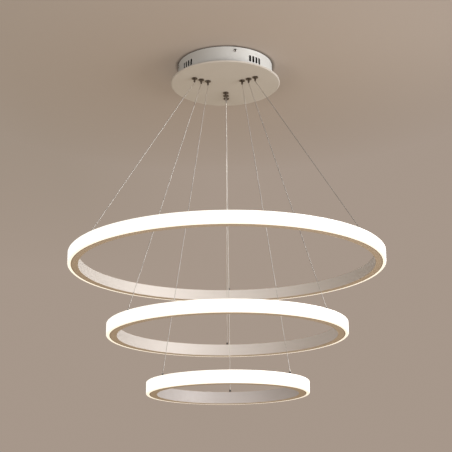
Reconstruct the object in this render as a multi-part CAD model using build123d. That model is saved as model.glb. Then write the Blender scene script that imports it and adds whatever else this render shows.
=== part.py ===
"""LED ring chandelier: three lit rings on wires under one ceiling canopy.

The ceiling is the plane z = 0 and everything hangs below it, about the z axis.
Each ring is an aluminium channel bent into a hoop, open outwards. An LED strip lies on
its back wall, and a C-shaped diffuser covers the mouth, held by tongues that slide
under the channel's flanges. Three wires carry each ring. They run up to cable grippers
in the canopy plate, whose sprung noses let the wire through when they are pushed up.
"""
import os
from math import cos, degrees, radians, sin

from build123d import *

# ---------------------------------------------------------------- driving dimensions, mm
# Rings: outside diameter, ceiling to underside, and how far each hangs turned (degrees).
LARGE_DIAMETER = 800.0
LARGE_DROP = 555.0
LARGE_TURN = -1.0
MEDIUM_DIAMETER = 600.0
MEDIUM_DROP = 731.0
MEDIUM_TURN = 0.0
SMALL_DIAMETER = 400.0
SMALL_DROP = 874.0
SMALL_TURN = -2.0

# Ring section. Widths run outwards from the ring's inner wall.
RING_WIDTH = 26.0
RING_HEIGHT = 30.0
DIFFUSER_LIP = 8.0
CHANNEL_WALL = 1.8
FLANGE_THICKNESS = 1.5
DIFFUSER_WALL = 2.0
DIFFUSER_LEG = 3.0
DIFFUSER_CHAMFER = 1.6
TONGUE_LENGTH = 3.0
SNAP_CLEARANCE = 0.08
STRIP_WIDTH = 10.0
STRIP_THICKNESS = 1.4

# Block that joins the hoop's two ends, under the top flange.
SEAM_ANGLE = 150.0
JOINER_LENGTH = 56.0
JOINER_DEPTH = 7.0
JOINER_HEIGHT = 6.0
GRUB_RADIUS = 1.5
GRUB_LENGTH = 5.0
GRUB_SPACING = 30.0

# Wires and the anchors that hold them on the rings.
WIRE_DIAMETER = 1.5
ANCHOR_ANGLES = (90.0, 215.0, 325.0)
ANCHOR_INSET = 16.0
ANCHOR_HEIGHT = 7.5
ANCHOR_RADIUS = 2.4
ANCHOR_TAIL_RADIUS = 1.9
ANCHOR_TAIL_LENGTH = 4.5
ANCHOR_SHOULDER = 1.0

# Canopy.
CANOPY_HEIGHT = 51.5
PLATE_DIAMETER = 290.0
PLATE_THICKNESS = 1.2
PLATE_RIM_HEIGHT = 3.6
PLATE_EDGE_BEVEL = 2.4
PLATE_INNER_BEVEL = 1.8
DRUM_DIAMETER = 250.0
DRUM_WALL = 1.2
DRUM_FOOT_WIDTH = 12.0
VENT_ANGLE = 308.0
VENT_GROUPS = 4
VENTS_PER_GROUP = 4
VENT_PITCH = 10.2
VENT_WIDTH = 6.5
VENT_HEIGHT = 18.0
VENT_DEPTH = 25.5

# Ceiling bracket and the screws that hold the drum on it.
BRACKET_ANGLE = 282.0
BRACKET_ARMS = 4
BRACKET_THICKNESS = 1.5
BRACKET_ARM_WIDTH = 24.0
BRACKET_EAR_DROP = 18.0
BRACKET_CABLE_HOLE_RADIUS = 14.0
BRACKET_CLEARANCE = 0.3
CEILING_HOLE_CIRCLE = 150.0
CEILING_HOLE_RADIUS = 2.6
SIDE_SCREW_DEPTH = 10.0
SIDE_SCREW_RADIUS = 1.95
SIDE_SCREW_LENGTH = 9.0
SIDE_SCREW_HEAD_RADIUS = 4.2
SIDE_SCREW_HEAD_HEIGHT = 2.6
SCREW_HOLE_CLEARANCE = 0.15

# Studs on the plate and their nuts.
STUD_ANGLE = 57.0
STUD_COUNT = 4
STUD_RADIUS = 1.95
STUD_HEIGHT = 9.0
NUT_M4_FLATS = 7.0
NUT_M4_HEIGHT = 3.2

# Cable grippers: three radial lines of three.
GRIPPER_TURN = -1.5
GRIPPER_LINES = (90.0, 210.0, 330.0)
LARGE_GRIPPER_CIRCLE = 92.0
MEDIUM_GRIPPER_CIRCLE = 72.0
SMALL_GRIPPER_CIRCLE = 52.0
BARREL_RADIUS = 4.0
BARREL_HEIGHT = 15.0
BARREL_FLANGE_RADIUS = 7.6
BARREL_FLANGE_HEIGHT = 1.8
BARREL_NECK_RADIUS = 2.6
BARREL_NECK_LENGTH = 7.7
BARREL_MOUTH_LENGTH = 3.0
GRIPPER_NUT_FLATS = 13.0
GRIPPER_NUT_HEIGHT = 4.0
NOSE_RADIUS = 1.7
NOSE_REACH = 2.5
NOSE_HEAD_RADIUS = 2.05
NOSE_HEAD_LENGTH = 4.0
NOSE_SEAT_GAP = 0.05
RUNNING_CLEARANCE = 0.05
WIRE_BORE_RADIUS = 0.9
CAP_LENGTH = 5.0

# Drivers, mains block and internal leads.
LARGE_DRIVER_LENGTH = 100.0
MEDIUM_DRIVER_LENGTH = 90.0
SMALL_DRIVER_LENGTH = 80.0
DRIVER_WIDTH = 36.0
DRIVER_HEIGHT = 22.0
DRIVER_SETBACK = 38.0
DRIVER_CORNER = 3.0
PAD_THICKNESS = 1.0
PAD_MARGIN = 4.0
TERMINAL_LENGTH = 28.0
TERMINAL_WIDTH = 17.0
TERMINAL_HEIGHT = 12.0
TERMINAL_SETBACK = 20.0
TERMINAL_POLES = 3
POLE_WELL = 3.6
POLE_WELL_DEPTH = 4.0
EARTH_SCREW_SETBACK = 34.0
LEAD_WIDTH = 5.0
LEAD_THICKNESS = 2.5
LEAD_BEND = 6.0
LEAD_RUN = 14.0
TAIL_RISE = 11.0

CUT_EXTRA = 1.0

# ---------------------------------------------------------------- derived levels and lists
PLATE_BOTTOM = -CANOPY_HEIGHT
PLATE_TOP = PLATE_BOTTOM + PLATE_THICKNESS
DRUM_RADIUS = DRUM_DIAMETER / 2
DRUM_BORE_RADIUS = DRUM_RADIUS - DRUM_WALL
STUD_CIRCLE_RADIUS = DRUM_BORE_RADIUS - DRUM_FOOT_WIDTH / 2
NOSE_TIP = PLATE_BOTTOM - BARREL_FLANGE_HEIGHT - BARREL_NECK_LENGTH - NOSE_REACH

RINGS = {
    "large": dict(radius=LARGE_DIAMETER / 2, bottom=-LARGE_DROP, turn=LARGE_TURN,
                  grip=LARGE_GRIPPER_CIRCLE, sector=270.0, driver=LARGE_DRIVER_LENGTH),
    "medium": dict(radius=MEDIUM_DIAMETER / 2, bottom=-MEDIUM_DROP, turn=MEDIUM_TURN,
                   grip=MEDIUM_GRIPPER_CIRCLE, sector=30.0, driver=MEDIUM_DRIVER_LENGTH),
    "small": dict(radius=SMALL_DIAMETER / 2, bottom=-SMALL_DROP, turn=SMALL_TURN,
                  grip=SMALL_GRIPPER_CIRCLE, sector=150.0, driver=SMALL_DRIVER_LENGTH),
}
LETTERS = ("a", "b", "c")


# ---------------------------------------------------------------- helpers
def polar(radius, angle, z=0.0):
    """The point at a radius and an angle (degrees) about the z axis."""
    return Vector(radius * cos(radians(angle)), radius * sin(radians(angle)), z)


def turned(shape, angle):
    """A shape turned about the z axis."""
    return Rot(0, 0, angle) * shape


def span(x0, x1, z0, z1):
    """A rectangle between two radii and two heights, as a section to revolve."""
    return Pos((x0 + x1) / 2, (z0 + z1) / 2) * Rectangle(x1 - x0, z1 - z0)


def spin(section, arc=360.0):
    """A section of radius and height, revolved about the z axis."""
    return revolve(Plane.XZ * section, axis=Axis.Z, revolution_arc=arc)


def rod(radius, z0, z1):
    """An upright cylinder between two heights."""
    return Pos(0, 0, (z0 + z1) / 2) * Cylinder(radius, z1 - z0)


def hexagon_nut(flats, hole_radius, z0, height):
    """A hexagon nut standing on a height."""
    outline = RegularPolygon(flats / 2, 6, major_radius=False) - Circle(hole_radius)
    return Pos(0, 0, z0) * extrude(outline, height)


def pan_head_screw(shank_radius, length, head_radius, head_height):
    """A screw along +x: its shank runs back to -length, and its head starts at x = 0."""
    outline = Polyline((0, -length), (shank_radius, -length), (shank_radius, 0), (head_radius, 0),
                       (head_radius - head_height / 2, head_height), (0, head_height), close=True)
    return Rot(0, 90, 0) * spin(make_face(outline))


def flat_lead(points, width, thickness, bend):
    """A flat lead along straight runs joined by arcs."""
    path = FilletPolyline(*points, radius=bend)
    across = (points[0] - points[1]).cross(Vector(0, 0, 1))
    return sweep(Plane(path @ 0, x_dir=across, z_dir=path % 0) * Rectangle(width, thickness), path)


def gripper_angles():
    """The three letters with the angle of each line of grippers."""
    return [(letter, line + GRIPPER_TURN) for letter, line in zip(LETTERS, GRIPPER_LINES)]


def gripper_seats():
    """The centre of every gripper, at the underside of the plate."""
    return [polar(ring["grip"], angle, PLATE_BOTTOM)
            for ring in RINGS.values() for letter, angle in gripper_angles()]


def anchor_seats(ring):
    """The centre of each wire anchor, on a ring's top face."""
    radius = ring["radius"] - ANCHOR_INSET
    top = ring["bottom"] + RING_HEIGHT
    return [polar(radius, angle + ring["turn"], top) for angle in ANCHOR_ANGLES]


def at_all(places, shape):
    """Copies of one shape, as a group of separate solids."""
    return Compound([Pos(*place) * shape for place in places])


# ---------------------------------------------------------------- rings
def channel(ring):
    """The aluminium hoop: a U section with its mouth outwards, drilled for the anchors."""
    inner = ring["radius"] - RING_WIDTH
    mouth = ring["radius"] - DIFFUSER_LIP
    top = ring["bottom"] + RING_HEIGHT
    section = span(inner, mouth, ring["bottom"], top)
    section -= span(inner + CHANNEL_WALL, mouth + CUT_EXTRA,
                    ring["bottom"] + FLANGE_THICKNESS, top - FLANGE_THICKNESS)
    hoop = spin(section)
    hole = rod(ANCHOR_TAIL_RADIUS + RUNNING_CLEARANCE, -FLANGE_THICKNESS - CUT_EXTRA, CUT_EXTRA)
    for seat in anchor_seats(ring):
        hoop -= Pos(*seat) * hole
    grub = rod(GRUB_RADIUS + RUNNING_CLEARANCE, -FLANGE_THICKNESS - CUT_EXTRA, CUT_EXTRA)
    for seat in grub_seats(ring):
        hoop -= Pos(*seat) * grub
    return hoop


def diffuser(ring):
    """The opal cover: a C section with chamfered edges, and a tongue under each flange."""
    outer = ring["radius"]
    mouth = outer - DIFFUSER_LIP
    bottom = ring["bottom"]
    top = bottom + RING_HEIGHT
    cover = span(mouth, outer, bottom, top)
    cover = chamfer(cover.vertices().group_by(Axis.X)[-1], DIFFUSER_CHAMFER)
    inset = FLANGE_THICKNESS + SNAP_CLEARANCE
    tongues = span(mouth - TONGUE_LENGTH, mouth + CUT_EXTRA, bottom + inset, top - inset)
    hollow = span(mouth - TONGUE_LENGTH - CUT_EXTRA, outer - DIFFUSER_WALL,
                  bottom + DIFFUSER_LEG, top - DIFFUSER_LEG)
    return spin(cover + tongues - hollow)


def led_strip(ring):
    """The strip of LEDs on the back wall, half-way up."""
    back = ring["radius"] - RING_WIDTH + CHANNEL_WALL
    middle = ring["bottom"] + RING_HEIGHT / 2
    return spin(span(back, back + STRIP_THICKNESS, middle - STRIP_WIDTH / 2, middle + STRIP_WIDTH / 2))


def joiner_radius(ring):
    """The radius of the joiner block's centre line."""
    return ring["radius"] - RING_WIDTH + CHANNEL_WALL + JOINER_DEPTH / 2


def grub_seats(ring):
    """The centres of the joiner's grub screws, on the ring's top face."""
    radius = joiner_radius(ring)
    step = degrees(GRUB_SPACING / 2 / radius)
    middle = SEAM_ANGLE + ring["turn"]
    top = ring["bottom"] + RING_HEIGHT
    return [polar(radius, middle + side * step, top) for side in (-1, 1)]


def joiner(ring):
    """The block that holds the hoop's two ends together, curved to the back wall."""
    radius = joiner_radius(ring)
    top = ring["bottom"] + RING_HEIGHT - FLANGE_THICKNESS
    arc = degrees(JOINER_LENGTH / radius)
    block = spin(span(radius - JOINER_DEPTH / 2, radius + JOINER_DEPTH / 2,
                      top - JOINER_HEIGHT, top), arc)
    block = turned(block, SEAM_ANGLE + ring["turn"] - arc / 2)
    hole = rod(GRUB_RADIUS + RUNNING_CLEARANCE, -GRUB_LENGTH, CUT_EXTRA)
    for seat in grub_seats(ring):
        block -= Pos(*seat) * hole
    return block


def grub_screws(ring):
    """The joiner's grub screws, flush with the ring's top face."""
    return at_all(grub_seats(ring), rod(GRUB_RADIUS, -GRUB_LENGTH, 0))


def anchors(ring):
    """The wire anchors: a stud through the top flange, narrowing to the wire at its top."""
    stud = Polyline((0, -ANCHOR_TAIL_LENGTH), (ANCHOR_TAIL_RADIUS, -ANCHOR_TAIL_LENGTH),
                    (ANCHOR_TAIL_RADIUS, 0), (ANCHOR_RADIUS, 0),
                    (ANCHOR_RADIUS, ANCHOR_HEIGHT - ANCHOR_SHOULDER), (WIRE_DIAMETER, ANCHOR_HEIGHT),
                    (0, ANCHOR_HEIGHT), close=True)
    return at_all(anchor_seats(ring), spin(make_face(stud)))


def wire(start, end):
    """A taut wire between two points, cut level at both ends."""
    reach = (start - end).length
    foot = Plane(end, z_dir=start - end).offset(-WIRE_DIAMETER)
    line = extrude(foot * Circle(WIRE_DIAMETER / 2), reach + 2 * WIRE_DIAMETER)
    level_slab = Pos(*(start + end) * 0.5) * Box(reach, reach, start.Z - end.Z)
    return line & level_slab


# ---------------------------------------------------------------- cable grippers
def barrel():
    """A gripper's body about the z axis, with the plate's underside at z = 0."""
    ledge = -BARREL_FLANGE_HEIGHT - BARREL_NECK_LENGTH + BARREL_MOUTH_LENGTH
    foot = -BARREL_FLANGE_HEIGHT - BARREL_NECK_LENGTH
    body = span(0, BARREL_RADIUS, 0, BARREL_HEIGHT)
    body += span(0, BARREL_FLANGE_RADIUS, -BARREL_FLANGE_HEIGHT, 0)
    body += span(0, BARREL_NECK_RADIUS, foot, -BARREL_FLANGE_HEIGHT)
    body -= span(0, NOSE_RADIUS + RUNNING_CLEARANCE, foot, ledge)
    body -= span(0, NOSE_HEAD_RADIUS + RUNNING_CLEARANCE, ledge, BARREL_HEIGHT)
    return spin(body)


def nose():
    """The sprung nose in the barrel's mouth, with its shoulder above the ledge."""
    foot = -BARREL_FLANGE_HEIGHT - BARREL_NECK_LENGTH
    ledge = foot + BARREL_MOUTH_LENGTH + NOSE_SEAT_GAP
    body = span(WIRE_BORE_RADIUS, NOSE_RADIUS, foot - NOSE_REACH, ledge)
    body += span(WIRE_BORE_RADIUS, NOSE_HEAD_RADIUS, ledge, ledge + NOSE_HEAD_LENGTH)
    return spin(body)


def cap():
    """The plug that closes the barrel's top and guides the wire out."""
    return spin(span(WIRE_BORE_RADIUS, NOSE_HEAD_RADIUS + RUNNING_CLEARANCE / 2,
                     BARREL_HEIGHT - CAP_LENGTH, BARREL_HEIGHT))


# ---------------------------------------------------------------- canopy
def bevelled_disc(radius, bottom, bevel):
    """The section of a disc as high as the plate's rim, with its lower edge bevelled."""
    top = PLATE_BOTTOM + PLATE_RIM_HEIGHT
    return make_face(Polyline((0, bottom), (radius - bevel, bottom), (radius, bottom + bevel),
                              (radius, top), (0, top), close=True))


def canopy_plate():
    """The round plate with its bevelled, turned-up rim, drilled for the grippers."""
    radius = PLATE_DIAMETER / 2
    hollow = bevelled_disc(radius - PLATE_THICKNESS, PLATE_TOP, PLATE_INNER_BEVEL)
    plate = spin(bevelled_disc(radius, PLATE_BOTTOM, PLATE_EDGE_BEVEL) - hollow)
    hole = rod(BARREL_RADIUS + RUNNING_CLEARANCE, -CUT_EXTRA, PLATE_THICKNESS + CUT_EXTRA)
    for seat in gripper_seats():
        plate -= Pos(*seat) * hole
    return plate


def vent_slot():
    """A cutter for one punched vent with round ends, through the drum's wall on the x axis."""
    outline = Plane.YZ.offset(DRUM_RADIUS - 2 * DRUM_WALL) * Pos(0, -VENT_DEPTH) * Rot(0, 0, 90)
    return extrude(outline * SlotOverall(VENT_HEIGHT, VENT_WIDTH), 4 * DRUM_WALL)


def canopy_drum():
    """The drum: a thin wall with an inward foot, vents and the side screws' holes."""
    wall = span(DRUM_BORE_RADIUS, DRUM_RADIUS, PLATE_TOP, 0)
    foot = span(DRUM_BORE_RADIUS - DRUM_FOOT_WIDTH, DRUM_RADIUS, PLATE_TOP, PLATE_TOP + DRUM_WALL)
    drum = spin(wall + foot)
    pitch = degrees(VENT_PITCH / DRUM_RADIUS)
    slot = vent_slot()
    cutters = []
    for group in range(VENT_GROUPS):
        middle = VENT_ANGLE + group * 360 / VENT_GROUPS
        for place in range(VENTS_PER_GROUP):
            cutters.append(turned(slot, middle + (place - (VENTS_PER_GROUP - 1) / 2) * pitch))
    hole = Rot(0, 90, 0) * Cylinder(SIDE_SCREW_RADIUS + SCREW_HOLE_CLEARANCE, 4 * DRUM_WALL)
    for angle in bracket_angles():
        cutters.append(turned(Pos(DRUM_RADIUS - DRUM_WALL / 2, 0, -SIDE_SCREW_DEPTH) * hole, angle))
    stud_hole = rod(STUD_RADIUS + SCREW_HOLE_CLEARANCE, PLATE_TOP - CUT_EXTRA, PLATE_TOP + 2 * DRUM_WALL)
    for place in stud_places():
        cutters.append(Pos(*place) * stud_hole)
    return drum - cutters


def bracket_angles():
    """The angle of each arm of the ceiling bracket, and of its side screw."""
    return [BRACKET_ANGLE + arm * 360 / BRACKET_ARMS for arm in range(BRACKET_ARMS)]


def ceiling_bracket():
    """The stamped cross against the ceiling, with an ear bent down at each arm's end."""
    reach = (DRUM_BORE_RADIUS ** 2 - (BRACKET_ARM_WIDTH / 2) ** 2) ** 0.5 - BRACKET_CLEARANCE
    strip = span(0, reach, -BRACKET_THICKNESS, 0)
    strip += span(reach - BRACKET_THICKNESS, reach, -BRACKET_EAR_DROP, 0)
    arm = extrude(Plane.XZ * strip, BRACKET_ARM_WIDTH / 2, both=True)
    screw_hole = Cylinder(SIDE_SCREW_RADIUS + RUNNING_CLEARANCE, 4 * BRACKET_THICKNESS)
    arm -= Pos(reach, 0, -SIDE_SCREW_DEPTH) * Rot(0, 90, 0) * screw_hole
    ceiling_hole = Cylinder(CEILING_HOLE_RADIUS, 4 * BRACKET_THICKNESS)
    arm -= Pos(CEILING_HOLE_CIRCLE / 2, 0, 0) * ceiling_hole
    arms = [turned(arm, angle) for angle in bracket_angles()]
    cross = arms[0].fuse(*arms[1:])
    cross -= Cylinder(BRACKET_CABLE_HOLE_RADIUS, 4 * BRACKET_THICKNESS)
    return cross - Pos(*polar(EARTH_SCREW_SETBACK, BRACKET_ANGLE + 180)) * screw_hole


def side_screws():
    """The screws that hold the drum on the bracket's ears."""
    seat = DRUM_RADIUS + SIDE_SCREW_HEAD_RADIUS ** 2 / DRUM_DIAMETER
    screw = Pos(seat, 0, -SIDE_SCREW_DEPTH) * pan_head_screw(
        SIDE_SCREW_RADIUS, SIDE_SCREW_LENGTH, SIDE_SCREW_HEAD_RADIUS, SIDE_SCREW_HEAD_HEIGHT)
    return Compound([turned(screw, angle) for angle in bracket_angles()])


def stud_places():
    """The places of the plate's studs, in the drum's foot."""
    return [polar(STUD_CIRCLE_RADIUS, STUD_ANGLE + k * 360 / STUD_COUNT) for k in range(STUD_COUNT)]


def driver_frame(ring):
    """The place of a ring's driver: its centre on the plate, with x along its length."""
    distance = DRIVER_SETBACK + DRIVER_WIDTH / 2
    angle = ring["sector"] + GRIPPER_TURN
    return Pos(*polar(distance, angle, PLATE_TOP)) * Rot(0, 0, angle + 90)


def driver(ring):
    """An LED driver: a moulded case with rounded edges, on its foam pad."""
    case = Box(ring["driver"], DRIVER_WIDTH, DRIVER_HEIGHT, align=(Align.CENTER, Align.CENTER, Align.MIN))
    case = fillet(case.edges().filter_by(Axis.Z), DRIVER_CORNER)
    case = chamfer(case.faces().sort_by(Axis.Z)[-1].edges(), DRIVER_CORNER / 3)
    return driver_frame(ring) * Pos(0, 0, PAD_THICKNESS) * case


def driver_pads():
    """The foam pads that stick the drivers to the plate."""
    pads = []
    for ring in RINGS.values():
        pad = Box(ring["driver"] - 2 * PAD_MARGIN, DRIVER_WIDTH - 2 * PAD_MARGIN, PAD_THICKNESS,
                  align=(Align.CENTER, Align.CENTER, Align.MIN))
        pads.append(driver_frame(ring) * pad)
    return Compound(pads)


def terminal_block():
    """The mains block under the bracket, with a square screw well under each pole."""
    block = Box(TERMINAL_LENGTH, TERMINAL_WIDTH, TERMINAL_HEIGHT,
                align=(Align.MIN, Align.CENTER, Align.MAX))
    pitch = TERMINAL_LENGTH / TERMINAL_POLES
    well = Box(POLE_WELL, POLE_WELL, 2 * POLE_WELL_DEPTH)
    for pole in range(TERMINAL_POLES):
        block -= Pos((pole + 0.5) * pitch, 0, -TERMINAL_HEIGHT) * well
    return turned(Pos(TERMINAL_SETBACK, 0, -BRACKET_THICKNESS) * block, BRACKET_ANGLE)


def earth_screw():
    """The earth screw, with its head below the arm opposite the mains block."""
    screw = Rot(0, 90, 0) * pan_head_screw(
        SIDE_SCREW_RADIUS, BRACKET_THICKNESS, SIDE_SCREW_HEAD_RADIUS, SIDE_SCREW_HEAD_HEIGHT)
    return Pos(*polar(EARTH_SCREW_SETBACK, BRACKET_ANGLE + 180, -BRACKET_THICKNESS)) * screw


def mains_leads():
    """A flat lead from the mains block down into the top of each driver."""
    level = -BRACKET_THICKNESS - TERMINAL_HEIGHT / 2
    driver_top = PLATE_TOP + PAD_THICKNESS + DRIVER_HEIGHT
    leads = []
    for ring, side in zip(RINGS.values(), (0, 1, -1)):
        entry = driver_frame(ring).position
        across = side * TERMINAL_WIDTH / 4
        leave = TERMINAL_SETBACK if side else TERMINAL_SETBACK + TERMINAL_LENGTH
        onward = leave - LEAD_RUN if side else leave + LEAD_RUN
        points = [turned(Pos(x, across, level), BRACKET_ANGLE).position for x in (leave, onward)]
        points += [Vector(entry.X, entry.Y, z) for z in (level, driver_top)]
        leads.append(flat_lead(points, LEAD_WIDTH, LEAD_THICKNESS, LEAD_BEND))
    return Compound(leads)


def wire_tails(ring):
    """The wires' upper ends, each up through its gripper's nose and cap."""
    tail = rod(WIRE_DIAMETER / 2, NOSE_TIP, PLATE_BOTTOM + BARREL_HEIGHT + TAIL_RISE)
    return at_all([polar(ring["grip"], angle) for letter, angle in gripper_angles()], tail)


# ---------------------------------------------------------------- all nodes
def build():
    """Every node of the chandelier, by name."""
    seats = gripper_seats()
    nodes = {
        "ceiling_bracket": ceiling_bracket(),
        "canopy_drum": canopy_drum(),
        "canopy_plate": canopy_plate(),
        "side_screws": side_screws(),
        "plate_studs": at_all(stud_places(), rod(STUD_RADIUS, PLATE_TOP, PLATE_TOP + STUD_HEIGHT)),
        "stud_nuts": at_all(stud_places(), hexagon_nut(
            NUT_M4_FLATS, STUD_RADIUS + RUNNING_CLEARANCE, PLATE_TOP + DRUM_WALL, NUT_M4_HEIGHT)),
        "gripper_barrels": at_all(seats, barrel()),
        "gripper_caps": at_all(seats, cap()),
        "gripper_nuts": at_all(seats, hexagon_nut(
            GRIPPER_NUT_FLATS, BARREL_RADIUS + RUNNING_CLEARANCE, PLATE_THICKNESS, GRIPPER_NUT_HEIGHT)),
        "driver_pads": driver_pads(),
        "terminal_block": terminal_block(),
        "earth_screw": earth_screw(),
        "mains_leads": mains_leads(),
    }
    for size, ring in RINGS.items():
        nodes[f"driver_{size}"] = driver(ring)
        nodes[f"wire_tails_{size}"] = wire_tails(ring)
        nodes[f"channel_{size}"] = channel(ring)
        nodes[f"diffuser_{size}"] = diffuser(ring)
        nodes[f"led_strip_{size}"] = led_strip(ring)
        nodes[f"joiner_{size}"] = joiner(ring)
        nodes[f"grub_screws_{size}"] = grub_screws(ring)
        nodes[f"anchors_{size}"] = anchors(ring)
        for (letter, angle), seat in zip(gripper_angles(), anchor_seats(ring)):
            tip = polar(ring["grip"], angle, NOSE_TIP)
            socket = seat + Vector(0, 0, ANCHOR_HEIGHT)
            nodes[f"gripper_nose_{size}_{letter}"] = Pos(tip.X, tip.Y, PLATE_BOTTOM) * nose()
            nodes[f"wire_{size}_{letter}"] = wire(tip, socket)
    return nodes


def main():
    os.makedirs("parts", exist_ok=True)
    for name, shape in build().items():
        export_step(shape, f"parts/{name}.step")


main()
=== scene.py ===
import math

import bpy
from mathutils import Matrix, Vector


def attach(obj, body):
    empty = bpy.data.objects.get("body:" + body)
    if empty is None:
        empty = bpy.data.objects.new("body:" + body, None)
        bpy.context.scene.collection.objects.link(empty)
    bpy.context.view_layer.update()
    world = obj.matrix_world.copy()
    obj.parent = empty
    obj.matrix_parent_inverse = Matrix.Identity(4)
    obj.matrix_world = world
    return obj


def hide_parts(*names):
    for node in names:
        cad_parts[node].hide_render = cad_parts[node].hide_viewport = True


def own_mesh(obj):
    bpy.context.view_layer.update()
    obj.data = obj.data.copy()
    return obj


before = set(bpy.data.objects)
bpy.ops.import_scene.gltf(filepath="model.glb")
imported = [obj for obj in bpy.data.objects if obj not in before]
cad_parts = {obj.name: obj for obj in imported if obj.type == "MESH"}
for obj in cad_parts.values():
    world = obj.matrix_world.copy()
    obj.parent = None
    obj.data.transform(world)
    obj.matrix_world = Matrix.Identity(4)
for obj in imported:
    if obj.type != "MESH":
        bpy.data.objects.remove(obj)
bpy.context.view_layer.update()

# ---------------------------------------------------------------- sizes, metres and degrees
# The part's own sizes, as they follow from its source.
SIZES = ("large", "medium", "small")
LETTERS = ("a", "b", "c")
RING_RADIUS = {"large": 0.400, "medium": 0.300, "small": 0.200}
RING_BOTTOM = {"large": -0.555, "medium": -0.731, "small": -0.874}
RING_TURN = {"large": -1.0, "medium": 0.0, "small": -2.0}
RING_HEIGHT = 0.030
DIFFUSER_LIP = 0.008
SEAM_ANGLE = 150.0
GRIP_CIRCLE = {"large": 0.092, "medium": 0.072, "small": 0.052}
GRIP_ANGLES = (88.5, 208.5, 328.5)
NOSE_TIP = -0.0635
ANCHOR_ANGLES = (90.0, 215.0, 325.0)
ANCHOR_INSET = 0.016
ANCHOR_HEIGHT = 0.0075
DRUM_INSIDE = 0.1240

# Wires: their strands, the length of one turn of the lay, how finely both are cut, and the depth
# of the groove between two strands as a share of the radius.
WIRE_DIAMETER = 0.0015
LAY_LENGTH = 0.011
STRANDS = 6
POINTS_PER_STRAND = 3
ROWS_PER_LAY = 12
STRAND_GROOVE = 0.03

# Screws and studs. A thread fades over one pitch at each end. Numbers outside a dict are shares
# of a radius, a height or a length.
THREAD_PITCH = 0.0007
THREAD_DEPTH = 0.00022
THREAD_ROWS_PER_TURN = 6
SHARP_EDGE = math.radians(32)

SIDE_SCREW_ANGLES = (282.0, 12.0, 102.0, 192.0)
SIDE_SCREW = dict(seat=0.12507, depth=0.010, shank=0.00195, length=0.009,
                  head=0.0042, height=0.0026, tip=0.0003, neck=0.0002)
SIDE_SCREW_TIP = 0.7
# The pan head's profile from the seat up, and its cross recess from the top down.
PAN_HEAD = ((0.97, 0.0), (1.0, 0.08), (1.0, 0.45), (0.96, 0.68), (0.86, 0.88), (0.76, 0.97),
            (0.70, 1.0))
CROSS_REACH, CROSS_HALF_WIDTH, CROSS_STEPS = 0.55, 0.15, 4
CROSS_RECESS = ((1.0, 1.0), (0.97, 0.96), (0.72, 0.30))

STUD_ANGLES = (57.0, 147.0, 237.0, 327.0)
STUD = dict(circle=0.1178, radius=0.00195, foot=-0.0503, height=0.009, root=0.0001, chamfer=0.0005)
STUD_TIP = 0.78
STUD_SIDES = 32

GRUB = dict(radius=0.0015, length=0.005, spacing=0.030, seat=0.0207, chamfer=0.0003, socket=0.0018)
GRUB_POINT, GRUB_SHOULDER, GRUB_TOP = 0.8, 0.92, 0.88
SOCKET_REACH, SOCKET_FLOOR, SOCKET_STEPS = 0.55, 0.96, 5

# ---------------------------------------------------------------- the fitted camera
CAMERA_PLACE = (-0.00592, -2.65076, -1.22943)
CAMERA_PITCH, CAMERA_YAW, CAMERA_ROLL = 16.51, 0.1, -0.48
FOCAL_PIXELS, PHOTO_PIXELS, SENSOR_WIDTH = 1079.54, 452.0, 36.0
FARTHEST_SEEN = 100.0

# ---------------------------------------------------------------- colours, linear
WHITE_COAT = (0.592, 0.592, 0.586)
# The plate's coat is the drum's white paint made darker and warmer by painted shade, as the light
# from below falls on it.
PLATE_COAT_SHADED = (0.560, 0.530, 0.498)
# How dark the painted shade inside the drum is, as a share of its coat.
INSIDE_PAINTED_SHADE = 0.22

# The part of its range in which most of a noise lies.
NOISE_SPAN = (0.3, 0.7)

# The channels: the extrusion lines' two tones and the faint clouds over them, the painted shade
# that makes
# # each ring's wall as bright and as cool as it looks in the photograph, and the painted shade of
# the edge faces from the wall to the diffuser, darkest at the seam.
LINE_DARK, LINE_BRIGHT, CLOUD = (0.82, 0.785, 0.755), (0.89, 0.85, 0.82), (0.79, 0.755, 0.725)
LINES_PER_METRE, LINES_PER_RADIAN = 2500.0, 3.0
CLOUD_SHARE = 0.25
WALL_SHADE_TONE = {"large": (0.95, 0.94, 0.94), "medium": (0.93, 0.92, 0.93), "small": (0.75, 0.75, 0.79)}
# Painted shade on the edge faces, and the painted shadow at the seam to the diffuser's lip.
EDGE_PAINTED_SHADE, SEAM_PAINTED_SHADOW = (0.63, 0.525, 0.42, 1), (0.36, 0.285, 0.215, 1)
EDGE_HEIGHTS = (0.0144, 0.0149)
SEAM_SHADE = (0.004, 0.0005)

# The lit diffusers: glow of the wall, the edges and the lips, its strength, and the faint LED dots.
OPAL = (0.90, 0.89, 0.87, 1)
GLOW_WALL, GLOW_EDGE, GLOW_LIP = (1.0, 0.99, 0.965, 1), (1.0, 0.93, 0.80, 1), (1.0, 0.87, 0.69, 1)
GLOW_STRENGTH = (0.86, 0.69)
GLOW_EDGE_HEIGHTS = (0.0115, 0.0150)
GLOW_WALL_DEPTH = 0.001
LED_DOT_PITCH, LED_DOT_STRENGTH = 0.0167, 0.03

# The LED strips: the board and its phosphor squares, the pitch of their row, and a square's half
# width as a share of that pitch and its half height.
BOARD_WHITE, PHOSPHOR = (0.86, 0.86, 0.84, 1), (0.95, 0.72, 0.18, 1)
LED_ROW_PITCH = 0.0083
PHOSPHOR_HALF_WIDTH, PHOSPHOR_HALF_HEIGHT = 0.21, 0.0014

# ---------------------------------------------------------------- the stage
# The photograph's wall and ceiling.
BACKDROP = (0.385, 0.311, 0.257, 1.0)
STAGE_SIZE = 16.0
FLOOR_HEIGHT = -2.6
CEILING_HEIGHT = 0.0008
# The reach of the floor's painted contact shadow.
FLOOR_SHADE_REACH = 0.5

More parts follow.
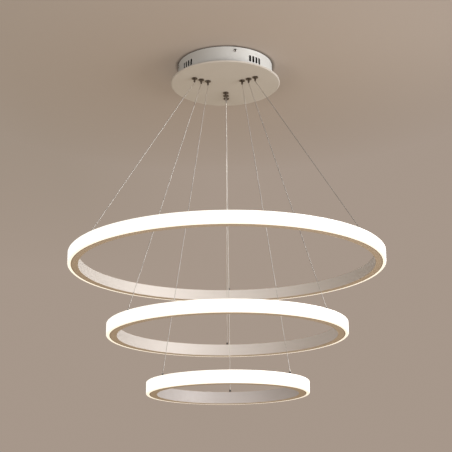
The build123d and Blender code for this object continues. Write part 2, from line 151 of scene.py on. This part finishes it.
# Where painted shade darkens the ceiling at the left and painted light brightens it at the right
# front, and by how much.
CEILING_SHADE_AND_LIGHT_PATCHES = (dict(x=(-0.05, -0.55), y=(2.2, 0.6), tint=(0.91, 0.91, 0.885)),
                   dict(x=(-0.05, 0.15), y=(0.15, -0.20), tint=(1.01, 1.01, 1.01)))

# The ceiling's share of real light over the canopy and how far out it fades, how bright that
# light makes the paint, the paint itself, and the reach of the painted contact shadow where
# something touches.
CEILING_LIT = 0.9
CEILING_LIT_RADII = (0.25, 0.85)
CEILING_ANSWER = 0.74
CEILING_PAINT = (0.355, 0.308, 0.272, 1)
CEILING_SHADE_REACH = 0.011
CONTACT_SAMPLES = 16

# A disc of painted shade that stands for the dark inside of the canopy: its colour, height and
# sides.
CANOPY_SHADE_COLOUR = (0.004, 0.004, 0.004, 1.0)
CANOPY_SHADE_HEIGHT = 0.0004
CANOPY_SHADE_SIDES = 96

# The room's light from the left to the right, above and below the horizon.
ROOM_ABOVE = ((0.10, 0.089, 0.080, 1), (0.42, 0.40, 0.38, 1))
ROOM_BELOW = ((0.33, 0.250, 0.160, 1), (0.57, 0.47, 0.345, 1))
ROOM_SIDES = (-0.8, 0.8)
ROOM_HORIZON = (-0.35, 0.25)

# Soft lamps: name, place, target, width, height, watts and colour.
LAMPS = (
    ("light_right_near", (1.0, -0.60, -0.52), (0, 0, -0.20), 0.8, 0.6, 6.0, (1.0, 0.985, 0.97)),
    ("light_right_low", (2.75, -1.30, -0.95), (0, 0, -0.40), 2.2, 1.0, 12.0, (1.0, 0.99, 0.98)),
    ("light_right_high", (2.50, -1.20, 1.05), (0, 0, -0.40), 2.2, 1.4, 38.0, (1.0, 0.99, 0.98)),
    ("light_front", (-1.5, -2.5, -1.5), (0, 0.1, -0.50), 1.6, 1.2, 32.0, (1.0, 0.96, 0.92)),
)


def polar(radius, angle, z=0.0):
    """The point at a radius and an angle (degrees) about the z axis."""
    a = math.radians(angle)
    return Vector((radius * math.cos(a), radius * math.sin(a), z))


def tinted(colour, tint):
    """A colour times another, channel by channel."""
    return tuple(a * b for a, b in zip(colour[:3], tint)) + (1.0,)


def shade(colour, factor):
    """A colour made lighter or darker."""
    return tinted(colour, (factor, factor, factor))


def in_scene(name, data):
    """A new object in the scene."""
    piece = bpy.data.objects.new(name, data)
    bpy.context.scene.collection.objects.link(piece)
    return piece


def smooth_mesh(name, verts, faces):
    """A mesh with smooth shading."""
    mesh = bpy.data.meshes.new(name)
    mesh.from_pydata([tuple(v) for v in verts], [], faces)
    mesh.polygons.foreach_set("use_smooth", [True] * len(mesh.polygons))
    mesh.update()
    return mesh


# ---------------------------------------------------------------- camera
def make_camera():
    """The camera that was fitted to the outlines in the photograph."""
    pitch, yaw, roll = (math.radians(v) for v in (CAMERA_PITCH, CAMERA_YAW, CAMERA_ROLL))
    forward = Vector((math.sin(yaw) * math.cos(pitch), math.cos(yaw) * math.cos(pitch),
                      math.sin(pitch)))
    right = Vector((math.cos(yaw), -math.sin(yaw), 0))
    up = right.cross(forward)
    right_turned = math.cos(roll) * right + math.sin(roll) * up
    up_turned = -math.sin(roll) * right + math.cos(roll) * up
    data = bpy.data.cameras.new("camera")
    data.sensor_width = SENSOR_WIDTH
    data.lens = SENSOR_WIDTH * FOCAL_PIXELS / PHOTO_PIXELS
    data.clip_end = FARTHEST_SEEN
    camera = in_scene("camera", data)
    turn = Matrix((right_turned, up_turned, -forward)).transposed().to_4x4()
    camera.matrix_world = Matrix.Translation(CAMERA_PLACE) @ turn
    bpy.context.scene.camera = camera


# ---------------------------------------------------------------- node helpers
class Nodes:
    """The node tree of a new material or world, with short calls for the nodes used here."""

    def __init__(self, owner, output="ShaderNodeOutputMaterial"):
        self.owner = owner
        owner.use_nodes = True
        self.tree = owner.node_tree
        self.tree.nodes.clear()
        self.output = self.tree.nodes.new(output)

    def add(self, kind, **inputs):
        node = self.tree.nodes.new(kind)
        for name, value in inputs.items():
            self.put(node, name, value)
        return node

    def put(self, node, name, value):
        """Sets or links an input, by its name or by its number, as in i0."""
        numbered = name[0] == "i" and name[1:].isdigit()
        socket = node.inputs[int(name[1:]) if numbered else name.replace("_", " ")]
        if isinstance(value, bpy.types.NodeSocket):
            self.tree.links.new(value, socket)
        else:
            socket.default_value = value

    def math(self, operation, a, b=0.0, clamp=False):
        node = self.add("ShaderNodeMath", i0=a, i1=b)
        node.operation = operation
        node.use_clamp = clamp
        return node.outputs[0]

    def ramp(self, factor, low, high, out_low=0.0, out_high=1.0):
        node = self.add("ShaderNodeMapRange", Value=factor, From_Min=low, From_Max=high,
                        To_Min=out_low, To_Max=out_high)
        return node.outputs[0]

    def mix(self, factor, a, b):
        node = self.tree.nodes.new("ShaderNodeMix")
        node.data_type = "RGBA"
        for name, value in (("i0", factor), ("i6", a), ("i7", b)):
            self.put(node, name, value)
        return node.outputs[2]

    def shaders(self, factor, a, b):
        return self.add("ShaderNodeMixShader", i0=factor, i1=a.outputs[0], i2=b.outputs[0])

    def place(self):
        return self.tree.nodes.new("ShaderNodeTexCoord").outputs["Object"]

    def parts(self, vector):
        return self.add("ShaderNodeSeparateXYZ", i0=vector).outputs

    def distance(self, x, y):
        return self.math("SQRT", self.math("ADD", self.math("MULTIPLY", x, x),
                                           self.math("MULTIPLY", y, y)))

    def noise(self, vector, scale, detail=2.0, roughness=0.5):
        node = self.add("ShaderNodeTexNoise", Vector=vector, Scale=scale, Detail=detail,
                        Roughness=roughness)
        return node.outputs[0]

    def bump(self, height, strength, distance):
        node = self.add("ShaderNodeBump", Height=height, Strength=strength, Distance=distance)
        return node.outputs[0]

    def contact_shade(self, reach):
        """1 in the open, less where something is closer than the reach; used for painted contact
        shadow.
        """
        node = self.add("ShaderNodeAmbientOcclusion", Distance=reach)
        node.samples = CONTACT_SAMPLES
        return node.outputs["AO"]

    def principled(self, **inputs):
        node = self.add("ShaderNodeBsdfPrincipled", **inputs)
        self.tree.links.new(node.outputs[0], self.output.inputs[0])
        return self.owner


def material_nodes(name):
    """The empty node tree of a new material."""
    return Nodes(bpy.data.materials.new(name))


def around(n):
    """Radius, angle and height of a point about the z axis, for patterns that run round a hoop."""
    x, y, z = n.parts(n.place())
    return n.distance(x, y), n.math("ARCTAN2", y, x), z


def off_middle(n, z, size):
    """Distance above or below a ring's middle height."""
    middle = RING_BOTTOM[size] + RING_HEIGHT / 2
    return n.math("ABSOLUTE", n.math("SUBTRACT", z, middle))


# ---------------------------------------------------------------- finishes
def powder_coat(name, colour, inside=0.0):
    """Satin powder coat: a fine orange peel and a faint unevenness of tone. Nearer to the axis
    than the inside radius it is darkened by a painted shade, so the inside shows dark through the
    vents."""
    n = material_nodes(name)
    unevenness = n.noise(n.place(), scale=9.0, detail=3.0)
    tone = n.mix(unevenness, shade(colour, 0.97), shade(colour, 1.03))
    if inside:
        # Painted shade on the inside of the drum.
        inside_shaded = n.math("LESS_THAN", around(n)[0], inside)
        tone = n.mix(inside_shaded, tone, shade(colour, INSIDE_PAINTED_SHADE))
    gloss = n.ramp(n.noise(n.place(), scale=30.0), *NOISE_SPAN, 0.40, 0.50)
    peel = n.noise(n.place(), scale=900.0)
    return n.principled(Base_Color=tone, Roughness=gloss, IOR=1.45,
                        Normal=n.bump(peel, strength=0.12, distance=0.0003))


def anodised_aluminium(size):
    """Satin anodised aluminium with fine extrusion lines round the hoop, and edge faces darkened by
    painted shade, darkest as a painted shadow at the seam.
    """
    n = material_nodes(f"channel_satin_aluminium_{size}")
    radius, angle, z = around(n)
    lines = n.add("ShaderNodeCombineXYZ", X=n.math("MULTIPLY", radius, LINES_PER_METRE),
                  Y=n.math("MULTIPLY", angle, LINES_PER_RADIAN),
                  Z=n.math("MULTIPLY", z, LINES_PER_METRE)).outputs[0]
    grain = n.noise(lines, scale=1.0, detail=3.0, roughness=0.6)
    cloud = n.noise(n.place(), scale=6.0)
    # Each ring's wall darkened and cooled by its own painted shade.
    dark, bright, clouded = (tinted(tone, WALL_SHADE_TONE[size])
                             for tone in (LINE_DARK, LINE_BRIGHT, CLOUD))
    wall = n.mix(n.ramp(cloud, *NOISE_SPAN, 0.0, CLOUD_SHARE), n.mix(grain, dark, bright), clouded)
    seam = RING_RADIUS[size] - DIFFUSER_LIP
    # Painted shadow in the seam between the channel and the diffuser's lip, over the edge faces'
    # painted shade.
    near_seam = n.ramp(radius, seam - SEAM_SHADE[0], seam - SEAM_SHADE[1])
    tone = n.mix(n.ramp(off_middle(n, z, size), *EDGE_HEIGHTS), wall,
                 n.mix(near_seam, EDGE_PAINTED_SHADE, SEAM_PAINTED_SHADOW))
    return n.principled(Base_Color=tone, Metallic=0.12,
                        Roughness=n.ramp(grain, 0.25, 0.75, 0.54, 0.62),
                        Normal=n.bump(grain, strength=0.012, distance=0.0002))


def lit_diffuser(size):
    """Opal plastic lit from inside: brightest along the wall, warmer and dimmer on its lips."""
    n = material_nodes(f"diffuser_opal_{size}")
    radius, angle, z = around(n)
    edge = n.ramp(off_middle(n, z, size), *GLOW_EDGE_HEIGHTS)
    outside = RING_RADIUS[size]
    inward = n.ramp(radius, outside - DIFFUSER_LIP, outside - GLOW_WALL_DEPTH, 1.0, 0.0)
    dots_round = round(outside * 2 * math.pi / LED_DOT_PITCH)
    dots = n.ramp(n.math("SINE", n.math("MULTIPLY", angle, dots_round)),
                  -1.0, 1.0, 0.0, LED_DOT_STRENGTH)
    colour = n.mix(edge, GLOW_WALL, GLOW_EDGE)
    colour = n.mix(n.math("MULTIPLY", inward, edge), colour, GLOW_LIP)
    strength = n.math("ADD", n.ramp(edge, 0.0, 1.0, *GLOW_STRENGTH), dots)
    return n.principled(Base_Color=OPAL, Roughness=0.38,
                        Normal=n.bump(n.noise(n.place(), scale=700.0), strength=0.05,
                                      distance=0.0002),
                        Emission_Color=colour, Emission_Strength=strength)


def plated(name, colour, roughness, speckle=60.0):
    """Plated or brushed metal with faint handling marks."""
    n = material_nodes(name)
    marks = n.noise(n.place(), speckle, detail=4.0, roughness=0.6)
    tone = n.mix(marks, shade(colour, 0.88), shade(colour, 1.08))
    return n.principled(Base_Color=tone, Metallic=1.0,
                        Roughness=n.ramp(marks, *NOISE_SPAN, roughness * 0.8, roughness * 1.25),
                        Normal=n.bump(n.noise(n.place(), scale=1200.0), strength=0.06,
                                      distance=0.0001))


def moulded(name, colour, roughness):
    """Moulded plastic, or a thick coat, with a fine spark-eroded texture."""
    n = material_nodes(name)
    tone = n.mix(n.noise(n.place(), scale=25.0), shade(colour, 0.96), shade(colour, 1.03))
    gloss = n.ramp(n.noise(n.place(), scale=80.0), *NOISE_SPAN, roughness * 0.9, roughness * 1.1)
    texture = n.noise(n.place(), scale=1500.0, detail=3.0)
    return n.principled(Base_Color=tone, Roughness=gloss,
                        Normal=n.bump(texture, strength=0.15, distance=0.0002))


def foam():
    """Closed-cell foam: small round cells."""
    n = material_nodes("pad_foam")
    cells = n.add("ShaderNodeTexVoronoi", Vector=n.place(), Scale=900.0).outputs[0]
    tone = n.mix(cells, (0.05, 0.05, 0.05, 1), (0.10, 0.10, 0.10, 1))
    return n.principled(Base_Color=tone, Roughness=0.95,
                        Normal=n.bump(cells, strength=0.4, distance=0.0004))


def led_board(size):
    """A white strip with a row of yellow phosphor squares."""
    n = material_nodes(f"led_board_{size}")
    _, angle, z = around(n)
    count = round(RING_RADIUS[size] * 2 * math.pi / LED_ROW_PITCH)
    turn = n.math("FRACT", n.math("MULTIPLY", angle, count / (2 * math.pi)))
    off_lens = n.math("ABSOLUTE", n.math("SUBTRACT", turn, 0.5))
    lens = n.math("MULTIPLY", n.math("LESS_THAN", off_lens, PHOSPHOR_HALF_WIDTH),
                  n.math("LESS_THAN", off_middle(n, z, size), PHOSPHOR_HALF_HEIGHT))
    return n.principled(Base_Color=n.mix(lens, BOARD_WHITE, PHOSPHOR), Roughness=0.4,
                        Normal=n.bump(lens, strength=0.5, distance=0.0005))


# ---------------------------------------------------------------- wires
def straight_line(start, end, steps):
    """Points along a taut line, read from a NURBS spline."""
    data = bpy.data.curves.new("line", "CURVE")
    data.dimensions = "3D"
    data.resolution_u = steps
    spline = data.splines.new("NURBS")
    spline.points.add(2)
    for point, place in zip(spline.points, (start, (start + end) / 2, end)):
        point.co = (*place, 1.0)
    spline.order_u = 3
    spline.use_endpoint_u = True
    line = in_scene("line", data)
    bpy.context.view_layer.update()
    evaluated = line.evaluated_get(bpy.context.evaluated_depsgraph_get())
    points = [v.co.copy() for v in bpy.data.meshes.new_from_object(evaluated).vertices]
    bpy.data.objects.remove(line)
    return points


def stranded_wire(name, start, end):
    """A wire rope: a round section with one lobe for each strand, twisted along its length."""
    points = straight_line(start, end, int((end - start).length / LAY_LENGTH * ROWS_PER_LAY))
    along = (end - start).normalized()
    side = along.orthogonal().normalized()
    other = along.cross(side)
    count = STRANDS * POINTS_PER_STRAND
    verts, faces = [], []
    for i, place in enumerate(points):
        twist = (place - start).length / LAY_LENGTH * 2 * math.pi
        for k in range(count):
            phase = 2 * math.pi * k / count
            lobe = abs(math.cos(STRANDS / 2 * phase))
            r = WIRE_DIAMETER / 2 * (1 - STRAND_GROOVE + STRAND_GROOVE * lobe)
            a = phase + twist
            verts.append(place + side * (r * math.cos(a)) + other * (r * math.sin(a)))
        if i:
            low, high = (i - 1) * count, i * count
            for k in range(count):
                after = (k + 1) % count
                faces.append((low + k, low + after, high + after, high + k))
    faces.append(tuple(reversed(range(count))))
    faces.append(tuple(range(len(verts) - count, len(verts))))
    return in_scene(name, smooth_mesh(name, verts, faces)), points


def make_wires(material):
    """Nine taut suspension wires, from the grippers to the rings' anchors, held by the canopy."""
    for size in SIZES:
        for letter, grip, anchor in zip(LETTERS, GRIP_ANGLES, ANCHOR_ANGLES):
            start = polar(GRIP_CIRCLE[size], grip, NOSE_TIP)
            end = polar(RING_RADIUS[size] - ANCHOR_INSET, anchor + RING_TURN[size],
                        RING_BOTTOM[size] + RING_HEIGHT + ANCHOR_HEIGHT)
            wire, points = stranded_wire(f"stranded_wire_{size}_{letter}", start, end)
            wire.data.materials.append(material)
            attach(wire, "canopy")
            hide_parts(f"wire_{size}_{letter}")
            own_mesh(wire)


# ---------------------------------------------------------------- screws and studs
def subdivided(corners, steps):
    """A closed outline's corners, with its edges cut into equal steps."""
    points = []
    for (x0, y0), (x1, y1) in zip(corners, corners[1:] + corners[:1]):
        points += [(x0 + (x1 - x0) * k / steps, y0 + (y1 - y0) * k / steps) for k in range(steps)]
    return points


def cross_outline(reach, half_width, steps):
    """The outline of a cross recess."""
    arm = ((reach, -half_width), (reach, half_width), (half_width, half_width))
    corners = []
    for turn in range(4):
        c, s = math.cos(turn * math.pi / 2), math.sin(turn * math.pi / 2)
        corners += [(c * x - s * y, s * x + c * y) for x, y in arm]
    return subdivided(corners, steps)


def hexagon_outline(reach, steps):
    """The outline of a hexagon socket."""
    corners = [(reach * math.cos(k * math.pi / 3), reach * math.sin(k * math.pi / 3))
               for k in range(6)]
    return subdivided(corners, steps)


class Lathe:
    """A mesh made of rings of points, each joined to the ring before it, all at the same angles."""

    def __init__(self, angles):
        self.angles = angles
        self.verts = []
        self.faces = []
        self.last = None

    def ring(self, points):
        first = len(self.verts)
        self.verts += points
        count = len(points)
        if self.last is not None:
            for k in range(count):
                after = (k + 1) % count
                self.faces.append((self.last + k, self.last + after, first + after, first + k))
        self.last = first

    def circle(self, radius, z):
        self.ring([(radius * math.cos(a), radius * math.sin(a), z) for a in self.angles])

    def outline(self, points, z, scale=1.0):
        self.ring([(x * scale, y * scale, z) for x, y in points])

    def close(self, start=False):
        loop = list(range(self.last, self.last + len(self.angles)))
        self.faces.append(tuple(reversed(loop)) if start else tuple(loop))

    def thread(self, radius, low, high):
        """A screw thread: rings whose radius rises and falls along a helix."""
        rows = int((high - low) / THREAD_PITCH * THREAD_ROWS_PER_TURN)
        for row in range(rows + 1):
            z = low + (high - low) * row / rows
            fade = min(1.0, (z - low) / THREAD_PITCH, (high - z) / THREAD_PITCH)
            points = []
            for a in self.angles:
                phase = (z / THREAD_PITCH - a / (2 * math.pi)) % 1.0
                r = radius - THREAD_DEPTH * fade * abs(2 * phase - 1)
                points.append((r * math.cos(a), r * math.sin(a), z))
            self.ring(points)


def hardware(name, lathe, turns, material, node, body):
    """Copies of one small turned part, in place of a CAD node."""
    verts, faces = [], []
    for turn in turns:
        first = len(verts)
        verts += [turn @ Vector(v) for v in lathe.verts]
        faces += [tuple(first + k for k in face) for face in lathe.faces]
    mesh = smooth_mesh(name, verts, faces)
    mesh.set_sharp_from_angle(angle=SHARP_EDGE)
    mesh.materials.append(material)
    piece = in_scene(name, mesh)
    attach(piece, body)
    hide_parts(node)


def make_side_screws(material):
    """Pan-head screws with a cross recess, through the drum's wall."""
    head, height = SIDE_SCREW["head"], SIDE_SCREW["height"]
    shank, length = SIDE_SCREW["shank"], SIDE_SCREW["length"]
    cross = cross_outline(CROSS_REACH * head, CROSS_HALF_WIDTH * head, CROSS_STEPS)
    screw = Lathe([math.atan2(y, x) for x, y in cross])
    screw.circle(shank * SIDE_SCREW_TIP, -length)
    screw.close(start=True)
    screw.thread(shank, SIDE_SCREW["tip"] - length, -SIDE_SCREW["neck"])
    screw.circle(shank, 0.0)
    for share, rise in PAN_HEAD:
        screw.circle(head * share, height * rise)
    for share, rise in CROSS_RECESS:
        screw.outline(cross, height * rise, share)
    screw.close()
    lying = Matrix.Rotation(math.pi / 2, 4, "Y")
    turns = [Matrix.Translation(polar(SIDE_SCREW["seat"], angle, -SIDE_SCREW["depth"]))
             @ Matrix.Rotation(math.radians(angle), 4, "Z") @ lying for angle in SIDE_SCREW_ANGLES]
    hardware("side_screws_cross_head", screw, turns, material, "side_screws", "canopy")


def make_studs(material):
    """Threaded studs with a chamfered end, which carry the plate's nuts."""
    stud = Lathe([2 * math.pi * k / STUD_SIDES for k in range(STUD_SIDES)])
    low, high = STUD["foot"], STUD["foot"] + STUD["height"]
    stud.circle(STUD["radius"], low)
    stud.close(start=True)
    stud.thread(STUD["radius"], low + STUD["root"], high - STUD["chamfer"])
    stud.circle(STUD["radius"] * STUD_TIP, high)
    stud.close()
    turns = [Matrix.Translation(polar(STUD["circle"], angle)) for angle in STUD_ANGLES]
    hardware("threaded_studs", stud, turns, material, "plate_studs", "canopy")


def make_grub_screws(material):
    """Socket set screws, flush with the top of each ring, one on each side of its seam."""
    radius, length = GRUB["radius"], GRUB["length"]
    socket = hexagon_outline(SOCKET_REACH * radius, SOCKET_STEPS)
    screw = Lathe([math.atan2(y, x) for x, y in socket])
    screw.circle(radius * GRUB_POINT, -length)
    screw.close(start=True)
    screw.circle(radius, -length * GRUB_SHOULDER)
    screw.circle(radius, -GRUB["chamfer"])
    screw.circle(radius * GRUB_TOP, 0.0)
    screw.outline(socket, 0.0)
    screw.outline(socket, -GRUB["socket"], SOCKET_FLOOR)
    screw.close()
    for size in SIZES:
        circle = RING_RADIUS[size] - GRUB["seat"]
        step = math.degrees(GRUB["spacing"] / 2 / circle)
        seam, top = SEAM_ANGLE + RING_TURN[size], RING_BOTTOM[size] + RING_HEIGHT
        turns = [Matrix.Translation(polar(circle, seam + side * step, top)) for side in (-1, 1)]
        hardware(f"socket_screws_{size}", screw, turns, material, f"grub_screws_{size}",
                 f"ring_{size}")


# ---------------------------------------------------------------- stage and lights
def seen_from_front(n, front, stops_lamps=False):
    """Shows a shader to the camera from the plane's front only, and lets light through."""
    paths = n.tree.nodes.new("ShaderNodeLightPath")
    back = n.tree.nodes.new("ShaderNodeNewGeometry").outputs["Backfacing"]
    seen = n.math("MULTIPLY", paths.outputs["Is Camera Ray"], n.math("SUBTRACT", 1.0, back))
    if stops_lamps:
        seen = n.math("ADD", seen, paths.outputs["Is Shadow Ray"], clamp=True)
    clear = n.tree.nodes.new("ShaderNodeBsdfTransparent")
    n.tree.links.new(n.shaders(seen, clear, front).outputs[0], n.output.inputs[0])
    return n.owner


def ceiling_paint():
    """The photograph's ceiling: painted shade at the left, painted light at the right front, and a
    painted contact shadow where something touches it. Near the canopy it is lit by the lamps and
    takes the shadow, farther out it glows evenly."""
    n = material_nodes("ceiling_paint")
    x, y, _ = n.parts(n.place())
    tone = BACKDROP
    # Painted shade at the left and painted light at the right front, laid over the backdrop's
    # colour.
    for patch in CEILING_SHADE_AND_LIGHT_PATCHES:
        share = n.math("MULTIPLY", n.ramp(x, *patch["x"]), n.ramp(y, *patch["y"]))
        tone = n.mix(share, tone, tinted(BACKDROP, patch["tint"]))
    lit = n.ramp(n.distance(x, y), *CEILING_LIT_RADII, CEILING_LIT, 0.0)
    open_air = n.contact_shade(CEILING_SHADE_REACH)
    # Painted contact shadow: the glow and the paint are darkened where something touches the
    # ceiling.
    contact_shade = n.math("MULTIPLY", open_air, open_air)
    unlit = n.math("SUBTRACT", 1.0, n.math("MULTIPLY", lit, CEILING_ANSWER))
    glow = n.add("ShaderNodeEmission", Color=tone, Strength=n.math("MULTIPLY", contact_shade, unlit))
    paint_colour = n.mix(n.math("MULTIPLY", lit, contact_shade), (0, 0, 0, 1), CEILING_PAINT)
    paint = n.add("ShaderNodeBsdfDiffuse", Color=paint_colour)
    both = n.add("ShaderNodeAddShader", i0=glow.outputs[0], i1=paint.outputs[0])
    return seen_from_front(n, both)


def canopy_painted_shade():
    """A disc of painted shade for the dark ceiling inside the canopy, which also keeps the lamps
    above it out.
    """
    n = material_nodes("ceiling_inside_canopy")
    return seen_from_front(n, n.add("ShaderNodeEmission", Color=CANOPY_SHADE_COLOUR), stops_lamps=True)


def floor_paint():
    """The backdrop's colour, with a painted contact shadow where something stands close."""
    n = material_nodes("floor_paint")
    glow = n.add("ShaderNodeEmission", Color=BACKDROP, Strength=n.contact_shade(FLOOR_SHADE_REACH))
    return seen_from_front(n, glow)


def add_to_stage(name, material, faces_down=False):
    """Names and dresses the plane that was just added."""
    plane = bpy.context.object
    plane.name = name
    if faces_down:
        plane.data.flip_normals()
    plane.data.materials.append(material)


def softbox(name, place, target, width, height, power, colour):
    """A large soft lamp, turned to its target."""
    data = bpy.data.lights.new(name, "AREA")
    data.shape = "RECTANGLE"
    data.size, data.size_y = width, height
    data.energy = power
    data.color = colour
    lamp = in_scene(name, data)
    lamp.location = place
    lamp.rotation_mode = "QUATERNION"
    lamp.rotation_quaternion = (Vector(target) - Vector(place)).to_track_quat("-Z", "Y")


def make_world():
    """The backdrop's colour for the camera, and a soft room light for everything else: dim from
    the upper left, brighter from the right and warm from below."""
    n = Nodes(bpy.data.worlds.new("studio"), "ShaderNodeOutputWorld")
    x, _, z = n.parts(n.tree.nodes.new("ShaderNodeTexCoord").outputs["Generated"])
    above = n.mix(n.ramp(x, *ROOM_SIDES), *ROOM_ABOVE)
    below = n.mix(n.ramp(x, *ROOM_SIDES), *ROOM_BELOW)
    light = n.add("ShaderNodeBackground", Color=n.mix(n.ramp(z, *ROOM_HORIZON), below, above))
    seen = n.add("ShaderNodeBackground", Color=BACKDROP)
    camera_ray = n.tree.nodes.new("ShaderNodeLightPath").outputs["Is Camera Ray"]
    n.tree.links.new(n.shaders(camera_ray, light, seen).outputs[0], n.output.inputs[0])
    bpy.context.scene.world = n.owner


def make_stage():
    """The ceiling with its disc of painted shade inside the canopy, the floor, the room's light and
    the soft lamps: three from the right and one from the left front."""
    make_world()
    bpy.ops.mesh.primitive_plane_add(size=STAGE_SIZE, location=(0, 0, CEILING_HEIGHT))
    add_to_stage("ceiling", ceiling_paint(), faces_down=True)
    bpy.ops.mesh.primitive_circle_add(vertices=CANOPY_SHADE_SIDES, radius=DRUM_INSIDE,
                                      location=(0, 0, CANOPY_SHADE_HEIGHT), fill_type="NGON")
    add_to_stage("ceiling_inside_canopy", canopy_painted_shade(), faces_down=True)
    bpy.ops.mesh.primitive_plane_add(size=STAGE_SIZE, location=(0, 0, FLOOR_HEIGHT))
    add_to_stage("floor", floor_paint())
    for lamp in LAMPS:
        softbox(*lamp)


# ---------------------------------------------------------------- dressing the CAD nodes
def dress(names, material):
    """Gives CAD nodes a finished material."""
    for name in names:
        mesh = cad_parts[name].data
        mesh.materials.clear()
        mesh.materials.append(material)


def dress_nodes():
    """Finishes the CAD nodes that stay in view, and returns the metals of wires and screws."""
    wire = plated("wire_steel_strands", (0.66, 0.63, 0.60), 0.40, speckle=400.0)
    steel = plated("nickel_screws", (0.45, 0.435, 0.42), 0.25)
    nickel = plated("gripper_dark_nickel", (0.16, 0.135, 0.115), 0.28)
    zinc = plated("zinc_plate", (0.62, 0.63, 0.65), 0.35)
    dark = plated("anchor_black_nickel", (0.10, 0.09, 0.085), 0.32)
    case = moulded("driver_case", (0.80, 0.80, 0.78), 0.45)
    dress(["canopy_drum"], powder_coat("drum_powder_coat", WHITE_COAT, DRUM_INSIDE))
    dress(["canopy_plate"], powder_coat("plate_powder_coat_shaded", PLATE_COAT_SHADED))
    # The bracket's black coat is partly its finish and partly painted shade for the dark inside of
    # the canopy.
    dress(["ceiling_bracket"], moulded("bracket_black_coat_and_shade", (0.035, 0.035, 0.035), 0.45))
    dress(["stud_nuts", "gripper_nuts"], steel)
    dress(["gripper_barrels", "gripper_caps"], nickel)
    dress([f"gripper_nose_{size}_{letter}" for size in SIZES for letter in LETTERS], nickel)
    dress(["driver_pads"], foam())
    dress(["terminal_block"], moulded("terminal_nylon", (0.84, 0.83, 0.78), 0.35))
    dress(["earth_screw"], plated("brass_screw", (0.78, 0.60, 0.30), 0.25))
    dress(["mains_leads"], moulded("lead_sheath", (0.76, 0.76, 0.74), 0.50))
    for size in SIZES:
        dress([f"channel_{size}"], anodised_aluminium(size))
        dress([f"diffuser_{size}"], lit_diffuser(size))
        dress([f"led_strip_{size}"], led_board(size))
        dress([f"joiner_{size}"], zinc)
        dress([f"anchors_{size}"], dark)
        dress([f"driver_{size}"], case)
        dress([f"wire_tails_{size}"], wire)
    return wire, steel


make_camera()
wire_metal, screw_metal = dress_nodes()
make_wires(wire_metal)
make_side_screws(screw_metal)
make_studs(screw_metal)
make_grub_screws(screw_metal)
make_stage()
bpy.context.scene.view_settings.view_transform = "Standard"
